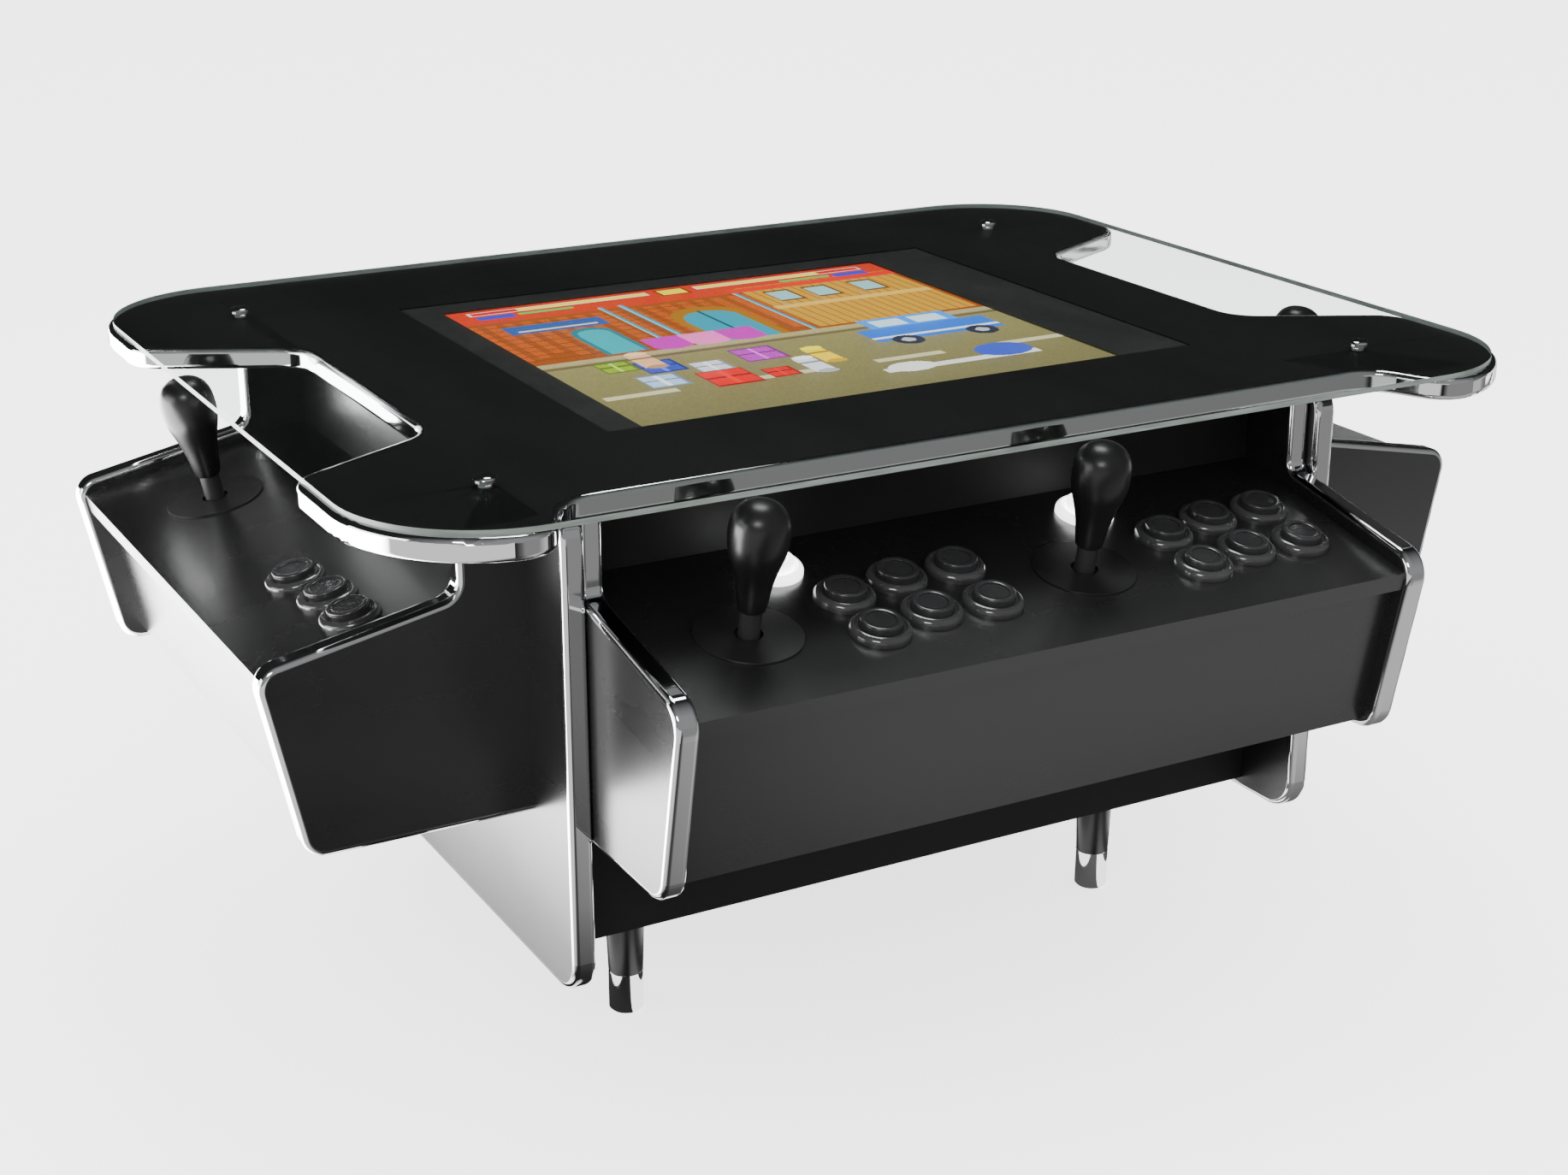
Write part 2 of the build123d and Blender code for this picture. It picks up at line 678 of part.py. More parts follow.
# =============================================================================================
# Joysticks: static base, gimbal ring on its x axis, shaft on its y axis, bat handle
# =============================================================================================
BASE_TOP = -PANEL_T
BOX_TOP = BASE_TOP - BASE_PLATE[2]
with BuildPart() as joystick_base:
    with BuildSketch(Plane.XY.offset(BASE_TOP)):
        RectangleRounded(BASE_PLATE[0], BASE_PLATE[1], 5)
        with GridLocations(BASE_PLATE[0] - 12, BASE_PLATE[1] - 12, 2, 2):
            Circle(2.2, mode=Mode.SUBTRACT)
    extrude(amount=-BASE_PLATE[2])
    with BuildSketch(Plane.XY.offset(BOX_TOP)):
        RectangleRounded(BASE_BOX, BASE_BOX, 3)
        Rectangle(BASE_BOX - 2 * BASE_WALL, BASE_BOX - 2 * BASE_WALL, mode=Mode.SUBTRACT)
    extrude(amount=-BASE_DEPTH)
    with BuildSketch(Plane.XY.offset(BOX_TOP - BASE_DEPTH)):
        RectangleRounded(BASE_BOX, BASE_BOX, 3)
        Circle(GATE_R, mode=Mode.SUBTRACT)
    extrude(amount=BASE_WALL)
    with BuildSketch(Plane.XY.offset(BOX_TOP)):
        Circle(BOSS_OUTER_R)
    extrude(amount=BOSS_TOP_H - BOX_TOP)
    with BuildSketch(Plane.XY.offset(BOX_TOP)):
        Circle(BOSS_INNER_R)
    extrude(amount=BOSS_TOP_H - BOX_TOP, mode=Mode.SUBTRACT)
    with BuildSketch(Plane.YZ):
        with Locations((0, PIVOT_H)):
            Circle(CROSS_PIN_R + PIN_CLEARANCE)
    extrude(amount=BOSS_OUTER_R, both=True, mode=Mode.SUBTRACT)
save_group(copies(joystick_base.part, STICKS.values()), "joystick_bases")

with BuildPart() as dust_washer:
    with BuildSketch():
        Circle(WASHER_R)
        Circle(WASHER_HOLE_R, mode=Mode.SUBTRACT)
    extrude(amount=WASHER_T)
    chamfer(dust_washer.faces().sort_by(Axis.Z)[-1].outer_wire().edges(), 0.35)
save_group(copies(dust_washer.part, STICKS.values()), "dust_washers")

with BuildPart() as gimbal:
    with BuildSketch(Plane.XY.offset(PIVOT_H - GIMBAL_T / 2)):
        Circle(GIMBAL_OUTER_R)
        Circle(GIMBAL_INNER_R, mode=Mode.SUBTRACT)
    extrude(amount=GIMBAL_T)
    with BuildSketch(Plane.XZ):
        with Locations((0, PIVOT_H)):
            Circle(CROSS_PIN_R + PIN_CLEARANCE)
    extrude(amount=GIMBAL_OUTER_R, both=True, mode=Mode.SUBTRACT)
    for side in (-1, 1):
        with BuildSketch(Plane.YZ.offset(side * (GIMBAL_OUTER_R - 1))):
            with Locations((0, PIVOT_H)):
                Circle(CROSS_PIN_R)
        extrude(amount=side * (BOSS_OUTER_R - GIMBAL_OUTER_R + 0.6))

with BuildPart() as shaft:
    with BuildSketch(Plane.XZ):
        with BuildLine():
            Polyline(
                (0, SHAFT_BOTTOM_H),
                (ACTUATOR_R, SHAFT_BOTTOM_H),
                (ACTUATOR_R, SHAFT_BOTTOM_H + ACTUATOR_T),
                (SHAFT_LOWER_R, SHAFT_BOTTOM_H + ACTUATOR_T),
                (SHAFT_LOWER_R, SHAFT_STEP_H),
                (SHAFT_R, SHAFT_STEP_H),
                (SHAFT_R, HANDLE_BOTTOM_H),
                (SHAFT_LOWER_R, HANDLE_BOTTOM_H),
                (SHAFT_LOWER_R, HANDLE_SOCKET_H),
                (0, HANDLE_SOCKET_H),
                close=True,
            )
        make_face()
    revolve(axis=Axis.Z)
    with BuildSketch(Plane.XZ):
        with Locations((0, PIVOT_H)):
            Circle(CROSS_PIN_R)
    extrude(amount=GIMBAL_OUTER_R - 0.4, both=True)

with BuildPart() as handle:
    with BuildSketch(Plane.XZ):
        with BuildLine():
            Polyline(
                (0, HANDLE_TOP_H),
                (0, HANDLE_SOCKET_H),
                (SHAFT_LOWER_R, HANDLE_SOCKET_H),
                (SHAFT_LOWER_R, HANDLE_BOTTOM_H),
                (HANDLE_FOOT_R - 0.8, HANDLE_BOTTOM_H),
                (HANDLE_FOOT_R, HANDLE_BOTTOM_H + 0.8),
            )
            Spline(
                (HANDLE_FOOT_R, HANDLE_BOTTOM_H + 0.8), HANDLE_NECK, HANDLE_SHOULDER, HANDLE_WIDEST,
                tangents=((0.16, 1), (0, 1)),
            )
            Spline(HANDLE_WIDEST, HANDLE_CROWN, (0, HANDLE_TOP_H), tangents=((0, 1), (-1, 0)))
        make_face()
    revolve(axis=Axis.Z)

for name, place in STICKS.items():
    at = control_plane(place).location
    save(at * gimbal.part, f"gimbal_{name}")
    save(at * shaft.part, f"shaft_{name}")
    save(at * handle.part, f"handle_{name}")

# =============================================================================================
# Microswitches: one under each button, four around each joystick's actuator
# =============================================================================================
with BuildPart() as switch:
    Box(*SWITCH_SIZE, align=(Align.CENTER, Align.CENTER, Align.MAX))
    with BuildSketch(Plane.XY.offset(-SWITCH_SIZE[2])):
        with GridLocations(7, 0, 3, 1):
            Rectangle(0.8, 3.2)
    extrude(amount=-4)
button_switches = copies(Location((0, 0, -SWITCH_TOP)) * switch.part, ALL_BUTTONS.values())
stick_switches = []
switch_offset = BASE_BOX / 2 - BASE_WALL - SWITCH_SIZE[1] / 2
for angle in (0, 90, 180, 270):
    around = Rotation(0, 0, angle) * Location((0, switch_offset, SHAFT_BOTTOM_H + ACTUATOR_T + 1))
    stick_switches += copies(around * switch.part, STICKS.values())
save_group(button_switches + stick_switches, "microswitches")

# =============================================================================================
# Legs
# =============================================================================================
LEG_SPOTS = [(side * LEG_X, y) for y in LEG_Y for side in (-1, 1)]
LEG_TOP = FLOOR_BOTTOM - LEG_PLATE[1]
with BuildPart() as leg:
    with BuildSketch(Plane.XZ):
        with BuildLine():
            Polyline(
                (0, FERRULE_FLOOR_T),
                (LEG_TIP_R, FERRULE_FLOOR_T),
                (LEG_TIP_R, FERRULE_H),
                (LEG_FOOT_R, FERRULE_H),
                (LEG_TOP_R, LEG_TOP),
                (0, LEG_TOP),
                close=True,
            )
        make_face()
    revolve(axis=Axis.Z)
save_group([Location((x, y, 0)) * leg.part for x, y in LEG_SPOTS], "legs")

with BuildPart() as ferrule:
    with BuildSketch(Plane.XZ):
        with BuildLine():
            Polyline(
                (0, 0),
                (FERRULE_R - 1.5, 0),
                (FERRULE_R, 1.5),
                (FERRULE_R, FERRULE_H - 0.6),
                (FERRULE_R - 0.6, FERRULE_H),
                (LEG_TIP_R, FERRULE_H),
                (LEG_TIP_R, FERRULE_FLOOR_T),
                (0, FERRULE_FLOOR_T),
                close=True,
            )
        make_face()
    revolve(axis=Axis.Z)
save_group([Location((x, y, 0)) * ferrule.part for x, y in LEG_SPOTS], "leg_ferrules")

with BuildPart() as leg_plate:
    with BuildSketch(Plane.XY.offset(LEG_TOP)):
        RectangleRounded(LEG_PLATE[0], LEG_PLATE[0], 6)
        with GridLocations(LEG_PLATE[0] - 14, LEG_PLATE[0] - 14, 2, 2):
            Circle(2.2, mode=Mode.SUBTRACT)
    extrude(amount=LEG_PLATE[1])
save_group([Location((x, y, 0)) * leg_plate.part for x, y in LEG_SPOTS], "leg_plates")

# =============================================================================================
# Inner units on the floor
# =============================================================================================
FLOOR_TOP = FLOOR_BOTTOM + PANEL_T
with BuildPart() as power_supply:
    with BuildSketch(Plane(origin=(*SUPPLY_AT, FLOOR_TOP))):
        RectangleRounded(SUPPLY_SIZE[0], SUPPLY_SIZE[1], 2)
    extrude(amount=SUPPLY_SIZE[2])
    with BuildSketch(Plane(origin=(*SUPPLY_AT, FLOOR_TOP + SUPPLY_SIZE[2]))):
        with GridLocations(0, 10, 1, 7):
            SlotOverall(80, 4)
    extrude(amount=-3, mode=Mode.SUBTRACT)
save(power_supply.part, "power_supply")

with BuildPart() as game_board:
    board_x, board_y, board_t = GAME_BOARD_SIZE
    underside = FLOOR_TOP + STANDOFF_H
    with BuildSketch(Plane(origin=(*GAME_BOARD_AT, underside))):
        Rectangle(board_x, board_y)
    extrude(amount=board_t)
    with BuildSketch(Plane(origin=(*GAME_BOARD_AT, underside))):
        with GridLocations(board_x - 2 * STANDOFF_INSET, board_y - 2 * STANDOFF_INSET, 2, 2):
            Circle(STANDOFF_R)
    extrude(amount=-STANDOFF_H)
    with BuildSketch(Plane(origin=(*GAME_BOARD_AT, underside + board_t))):
        with Locations(*((column, row) for row in CHIP_ROWS for column in CHIP_ROWS)):
            Rectangle(CHIP_SIZE[0], CHIP_SIZE[1])
    extrude(amount=CHIP_SIZE[2])
save(game_board.part, "game_board")
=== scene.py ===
import json
import math

import bpy
import numpy as np
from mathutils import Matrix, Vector


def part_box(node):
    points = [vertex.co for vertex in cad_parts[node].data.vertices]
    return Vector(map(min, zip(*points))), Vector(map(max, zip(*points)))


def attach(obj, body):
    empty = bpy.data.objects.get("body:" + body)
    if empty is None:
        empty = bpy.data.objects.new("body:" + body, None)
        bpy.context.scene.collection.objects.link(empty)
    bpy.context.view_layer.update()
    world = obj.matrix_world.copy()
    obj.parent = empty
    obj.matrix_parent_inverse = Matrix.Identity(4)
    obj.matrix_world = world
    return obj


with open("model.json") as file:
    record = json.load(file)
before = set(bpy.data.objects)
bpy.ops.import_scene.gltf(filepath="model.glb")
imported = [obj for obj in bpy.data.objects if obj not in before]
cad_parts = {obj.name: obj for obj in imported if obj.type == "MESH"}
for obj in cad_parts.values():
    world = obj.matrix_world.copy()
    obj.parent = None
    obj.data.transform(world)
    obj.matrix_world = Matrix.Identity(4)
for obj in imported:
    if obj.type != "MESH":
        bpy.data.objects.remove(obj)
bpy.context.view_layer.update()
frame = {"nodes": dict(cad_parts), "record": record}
nodes = frame["nodes"]
rng = np.random.default_rng(7)

# --- material helpers --------------------------------------------------------------------------


def new_material(name, **settings):
    """A material with one Principled shader; settings name its sockets, _ standing for a space."""
    material = bpy.data.materials.new(name)
    material.use_nodes = True
    shader = material.node_tree.nodes["Principled BSDF"]
    for socket, value in settings.items():
        shader.inputs[socket.replace("_", " ")].default_value = value
    return material, material.node_tree, shader


def node(tree, kind, inputs=None, **properties):
    """A shader node; inputs are values, or sockets to link from."""
    made = tree.nodes.new(kind)
    for key, value in properties.items():
        setattr(made, key, value)
    for key, value in (inputs or {}).items():
        if isinstance(value, bpy.types.NodeSocket):
            tree.links.new(value, made.inputs[key])
        else:
            made.inputs[key].default_value = value
    return made


def object_point(tree):
    return node(tree, "ShaderNodeTexCoord").outputs["Object"]


def noise(tree, scale, detail=3.0, roughness=0.55, stretch=None):
    """Value of a noise texture over the object's own coordinates."""
    point = object_point(tree)
    if stretch:
        point = node(tree, "ShaderNodeMapping", {"Vector": point, "Scale": stretch}).outputs["Vector"]
    return node(
        tree, "ShaderNodeTexNoise",
        {"Vector": point, "Scale": scale, "Detail": detail, "Roughness": roughness},
    ).outputs["Fac"]


def spread(tree, value, low, high, start=0.3, end=0.7):
    """Maps a 0 to 1 texture value to a range."""
    return node(
        tree, "ShaderNodeMapRange",
        {"Value": value, "From Min": start, "From Max": end, "To Min": low, "To Max": high},
    ).outputs["Result"]


def tint(tree, value, dark, light, start=0.3, end=0.7):
    """Maps a texture value to a colour between two."""
    ramp = node(tree, "ShaderNodeValToRGB", {"Fac": value})
    ramp.color_ramp.elements[0].position = start
    ramp.color_ramp.elements[0].color = (*dark, 1)
    ramp.color_ramp.elements[1].position = end
    ramp.color_ramp.elements[1].color = (*light, 1)
    return ramp.outputs["Color"]


def bump(tree, shader, height, strength, distance):
    made = node(tree, "ShaderNodeBump", {"Height": height, "Strength": strength, "Distance": distance})
    tree.links.new(made.outputs["Normal"], shader.inputs["Normal"])


def grey(value):
    return (value, value, value)


# --- materials ---------------------------------------------------------------------------------


def laminate():
    """Black satin laminate with a fine orange-peel and soft wipe marks in its gloss."""
    material, tree, shader = new_material("black_laminate", Specular_IOR_Level=0.5, IOR=1.9)
    wipe = noise(tree, 5.0, 5.0, stretch=(1.0, 1.0, 2.2))
    tree.links.new(tint(tree, wipe, grey(0.003), grey(0.005)), shader.inputs["Base Color"])
    tree.links.new(spread(tree, wipe, 0.22, 0.31), shader.inputs["Roughness"])
    bump(tree, shader, noise(tree, 900.0, 2.0), 0.05, 0.0002)
    return material


def tabletop_black():
    """The painted board under the glass: deeper black, with faint long streaks."""
    material, tree, shader = new_material("tabletop_black", Specular_IOR_Level=0.25)
    streak = noise(tree, 9.0, 4.0, stretch=(1.0, 0.25, 1.0))
    tree.links.new(tint(tree, streak, grey(0.0015), grey(0.0040), 0.4, 0.75), shader.inputs["Base Color"])
    tree.links.new(spread(tree, streak, 0.4, 0.55), shader.inputs["Roughness"])
    return material


def wall_black_painted_shade():
    """The matte black of the cabinet's walls behind and under the control boxes, a little darker than the
    laminate as painted shade from the boxes.
    """
    material, tree, shader = new_material("wall_black_painted_shade", IOR=1.45)
    cloud = noise(tree, 12.0, 4.0)
    # Base colour kept below the laminate's: painted shade of the boxes above.
    tree.links.new(tint(tree, cloud, grey(0.0022), grey(0.0040)), shader.inputs["Base Color"])
    tree.links.new(spread(tree, cloud, 0.55, 0.68), shader.inputs["Roughness"])
    bump(tree, shader, noise(tree, 700.0, 2.0), 0.08, 0.0002)
    return material


def chrome(name, base, rough_low, rough_high, ripple):
    material, tree, shader = new_material(name, Metallic=1.0)
    shader.inputs["Base Color"].default_value = (*base, 1)
    tree.links.new(spread(tree, noise(tree, 40.0), rough_low, rough_high), shader.inputs["Roughness"])
    bump(tree, shader, noise(tree, 18.0, 2.0), ripple, 0.002)
    return material


def plastic(name, dark, light, rough_low, rough_high, grain, depth, coat=0.0):
    """A plastic whose colour and gloss drift a little and whose surface has a fine grain."""
    material, tree, shader = new_material(name)
    shader.inputs["Coat Weight"].default_value = coat
    shader.inputs["Coat Roughness"].default_value = 0.12
    drift = noise(tree, 25.0, 4.0)
    tree.links.new(tint(tree, drift, dark, light), shader.inputs["Base Color"])
    tree.links.new(spread(tree, drift, rough_low, rough_high), shader.inputs["Roughness"])
    bump(tree, shader, noise(tree, grain, 2.0), depth, 0.0003)
    return material


def brushed(name, dark, light, stretch, rough_low=0.25, rough_high=0.42):
    """Bare sheet or rod steel with a drawn grain."""
    material, tree, shader = new_material(name, Metallic=1.0)
    grain = noise(tree, 60.0, 5.0, stretch=stretch)
    tree.links.new(tint(tree, grain, dark, light), shader.inputs["Base Color"])
    tree.links.new(spread(tree, grain, rough_low, rough_high), shader.inputs["Roughness"])
    bump(tree, shader, grain, 0.1, 0.0003)
    return material


def glowing(name, colour, strength):
    """Translucent white plastic lit from inside, its tint and glow drifting a little between off-white and
    white.
    """
    material, tree, shader = new_material(name, Roughness=0.3)
    glow = noise(tree, 60.0, 2.0)
    tree.links.new(tint(tree, glow, colour, grey(1.0)), shader.inputs["Base Color"])
    tree.links.new(tint(tree, glow, colour, grey(1.0)), shader.inputs["Emission Color"])
    shader.inputs["Emission Strength"].default_value = strength
    return material


def clear_glass():
    """Thin clear glass: light passes straight through, faces reflect, and cut edges look grey-green."""
    material = bpy.data.materials.new("clear_glass")
    material.use_nodes = True
    tree = material.node_tree
    tree.nodes.clear()
    clear = node(tree, "ShaderNodeBsdfTransparent", {"Color": (0.955, 0.975, 0.965, 1)})
    gloss = node(tree, "ShaderNodeBsdfGlossy", {"Roughness": 0.03, "Color": (1, 1, 1, 1)})
    geometry = node(tree, "ShaderNodeNewGeometry")
    front = node(tree, "ShaderNodeMath", {0: 1.0, 1: geometry.outputs["Backfacing"]}, operation="SUBTRACT")
    fresnel = node(tree, "ShaderNodeFresnel", {"IOR": 1.38})
    mirror = node(
        tree, "ShaderNodeMath", {0: fresnel.outputs["Fac"], 1: front.outputs[0]}, operation="MULTIPLY"
    )
    face = node(
        tree, "ShaderNodeMixShader",
        {0: mirror.outputs[0], 1: clear.outputs["BSDF"], 2: gloss.outputs["BSDF"]},
    )
    streak = noise(tree, 30.0, 3.0, stretch=(1.0, 1.0, 12.0))
    edge = node(
        tree, "ShaderNodeBsdfPrincipled",
        {"Base Color": tint(tree, streak, (0.085, 0.10, 0.09), (0.15, 0.175, 0.16)), "Roughness": 0.35},
    )
    upward = node(tree, "ShaderNodeSeparateXYZ", {"Vector": geometry.outputs["Normal"]}).outputs["Z"]
    level = node(tree, "ShaderNodeMath", {0: upward}, operation="ABSOLUTE")
    flat = node(tree, "ShaderNodeMath", {0: level.outputs[0], 1: 0.3}, operation="GREATER_THAN")
    mixed = node(
        tree, "ShaderNodeMixShader",
        {0: flat.outputs[0], 1: edge.outputs["BSDF"], 2: face.outputs["Shader"]},
    )
    output = node(tree, "ShaderNodeOutputMaterial")
    tree.links.new(mixed.outputs["Shader"], output.inputs["Surface"])
    return material


def circuit():
    """Green solder mask with a lighter grid of traces."""
    material, tree, shader = new_material("circuit_board", Roughness=0.4)
    point = object_point(tree)
    bricks = node(
        tree, "ShaderNodeTexBrick",
        {
            "Vector": point, "Scale": 60.0,
            "Color1": (0.01, 0.10, 0.04, 1), "Color2": (0.012, 0.14, 0.05, 1),
            "Mortar": (0.10, 0.22, 0.08, 1), "Mortar Size": 0.015,
        },
    )
    tree.links.new(bricks.outputs["Color"], shader.inputs["Base Color"])
    return material


MATERIALS = {
    "black_laminate": laminate(),
    "chrome_edge": chrome("chrome_edge", (0.90, 0.90, 0.91), 0.03, 0.07, 0.05),
    "chrome_cap": chrome("chrome_cap", (0.88, 0.88, 0.89), 0.03, 0.06, 0.02),
    "chrome_ferrule": chrome("chrome_ferrule", (0.86, 0.86, 0.87), 0.05, 0.10, 0.03),
    "clear_glass": clear_glass(),
    "bezel_plastic": plastic("bezel_plastic", grey(0.010), grey(0.014), 0.4, 0.55, 700.0, 0.15),
    "lit_screen": plastic("screen_edge", grey(0.010), grey(0.012), 0.2, 0.3, 400.0, 0.05),
    "steel_sheet": brushed("steel_sheet", grey(0.40), grey(0.52), (1.0, 12.0, 1.0)),
    "washer_plastic": plastic("washer_plastic", grey(0.0025), grey(0.004), 0.34, 0.46, 900.0, 0.12),
    "button_bezel": plastic(
        "button_bezel", (0.018, 0.018, 0.0185), (0.030, 0.030, 0.031), 0.14, 0.24, 500.0, 0.04, 1.0
    ),
    "button_plunger": plastic(
        "button_plunger", (0.012, 0.012, 0.0125), (0.020, 0.020, 0.021), 0.20, 0.30, 500.0, 0.06, 0.8
    ),
    "lit_plunger": glowing("lit_plunger", (0.93, 0.94, 0.96), 4.0),
    "lit_bezel": glowing("lit_bezel", (0.95, 0.95, 0.96), 3.0),
    "nut_plastic": plastic("nut_plastic", grey(0.02), grey(0.035), 0.45, 0.6, 300.0, 0.2),
    "switch_plastic": plastic(
        "switch_plastic", (0.30, 0.02, 0.02), (0.42, 0.03, 0.025), 0.4, 0.5, 300.0, 0.2
    ),
    "base_plastic": plastic("base_plastic", grey(0.02), grey(0.035), 0.45, 0.6, 300.0, 0.2),
    "leg_lacquer": plastic("leg_lacquer", grey(0.003), grey(0.006), 0.25, 0.35, 400.0, 0.04),
    "supply_steel": brushed("supply_steel", grey(0.30), grey(0.40), (10.0, 1.0, 1.0)),
    "circuit_board": circuit(),
    "gimbal_steel": brushed("gimbal_steel", grey(0.48), grey(0.60), (1.0, 1.0, 8.0)),
    "shaft_steel": plastic("shaft_sleeve", grey(0.008), grey(0.012), 0.45, 0.6, 600.0, 0.2),
    "handle_plastic": plastic("handle_plastic", grey(0.0025), grey(0.0045), 0.27, 0.35, 600.0, 0.04),
}

slots = {entry["node"]: entry["material_slot"] for entry in frame["record"]["subparts"]}
for name, made in nodes.items():
    material = MATERIALS[slots[name]]
    if name == "tabletop_board":
        material = tabletop_black()
    # The walls behind and under the control boxes take a darker matte black, painted shade cast by the
    # boxes.
    if name in ("front_wall", "back_panel"):
        material = wall_black_painted_shade()
    for index in range(len(made.data.materials)):
        made.material_slots[index].material = material

# --- picture on the screen ---------------------------------------------------------------------
COLUMNS = 300
ROWS = 278
VIVID = 1.45               # how much the drawn colours are strengthened
CONTRAST = 1.25            # power that deepens them
PICTURE_LIGHT = 2.1        # emission strength of the lit picture
PICTURE_LIFT = 0.0002      # of the picture above the monitor panel
panel_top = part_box("lcd_panel")[1].z
glass_low, glass_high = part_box("glass_top")
top_centre_y = (glass_low.y + glass_high.y) / 2
PICTURE_X = (-0.186, 0.169)
PICTURE_Y = (top_centre_y - 0.159, top_centre_y + 0.170)

canvas = np.zeros((ROWS, COLUMNS, 3))


def paint(x0, y0, x1, y1, colour, shade=0.0):
    """A rectangle in parts of the picture, with an optional speckle."""
    rows = slice(int(y0 * ROWS), max(int(y1 * ROWS), int(y0 * ROWS) + 1))
    columns = slice(int(x0 * COLUMNS), max(int(x1 * COLUMNS), int(x0 * COLUMNS) + 1))
    area = canvas[rows, columns]
    area[:] = colour
    if shade:
        area *= 1 + shade * (rng.random(area.shape[:2] + (1,)) - 0.5)


def disc(x, y, rx, ry, colour):
    """A filled ellipse in parts of the picture."""
    row, column = np.mgrid[0:ROWS, 0:COLUMNS]
    inside = ((column / COLUMNS - x) / rx) ** 2 + ((row / ROWS - y) / ry) ** 2 < 1
    canvas[inside] = colour


def arch(x0, x1, y0, y1, colour):
    """A door or window with a round head."""
    paint(x0, y0, x1, y1, colour)
    disc((x0 + x1) / 2, y1, (x1 - x0) / 2, (x1 - x0) / 2, colour)


def street():
    """A plain street: walls with doors and pipes, a timber house and the road."""
    paint(0, 0, 1, 1, (0.30, 0.12, 0.05), 0.25)
    paint(0, 0.88, 1, 1, (0.50, 0.10, 0.04), 0.2)
    for step in range(26):
        x = step / 26
        paint(x, 0.54 + 0.02 * (step % 3), x + 0.022, 0.86, (0.46 - 0.01 * (step % 5), 0.16, 0.055), 0.3)
    for course in range(9):
        paint(0, 0.54 + course * 0.037, 0.52, 0.543 + course * 0.037, (0.20, 0.06, 0.03))
    arch(0.16, 0.25, 0.52, 0.70, (0.05, 0.22, 0.26))
    arch(0.17, 0.24, 0.52, 0.69, (0.09, 0.42, 0.46))
    arch(0.39, 0.55, 0.50, 0.72, (0.34, 0.20, 0.05))
    arch(0.41, 0.53, 0.50, 0.70, (0.05, 0.34, 0.42))
    paint(0.465, 0.50, 0.472, 0.77, (0.02, 0.10, 0.13))
    for x in (0.30, 0.345, 0.60):
        paint(x, 0.50, x + 0.012, 0.90, (0.10, 0.33, 0.42), 0.2)
        paint(x + 0.003, 0.50, x + 0.006, 0.90, (0.45, 0.70, 0.72))
    paint(0.06, 0.76, 0.27, 0.83, (0.07, 0.15, 0.34), 0.2)
    paint(0.08, 0.775, 0.25, 0.785, (0.75, 0.68, 0.55))
    paint(0.62, 0.52, 0.99, 0.92, (0.55, 0.36, 0.13), 0.15)
    for step in range(16):
        x = 0.62 + step * 0.0235
        paint(x, 0.52, x + 0.004, 0.92, (0.30, 0.16, 0.05))
    paint(0.62, 0.70, 0.99, 0.73, (0.70, 0.52, 0.24))
    for x in (0.66, 0.75, 0.86):
        paint(x, 0.76, x + 0.06, 0.86, (0.16, 0.08, 0.03))
        paint(x + 0.006, 0.77, x + 0.054, 0.85, (0.42, 0.60, 0.62))
    paint(0.60, 0.88, 1.0, 0.915, (0.62, 0.10, 0.05), 0.1)
    rows = slice(0, int(0.50 * ROWS))
    road = canvas[rows]
    ramp = np.linspace(0.75, 1.1, road.shape[0])[:, None, None]
    road[:] = np.array((0.27, 0.25, 0.15)) * ramp
    road *= 1 + 0.22 * (rng.random(road.shape[:2] + (1,)) - 0.5)
    paint(0, 0.475, 1, 0.505, (0.44, 0.40, 0.27), 0.2)
    paint(0, 0.455, 1, 0.47, (0.16, 0.14, 0.09))
    for x in (0.02, 0.30, 0.58, 0.86):
        paint(x, 0.20, x + 0.15, 0.225, (0.62, 0.59, 0.44), 0.1)


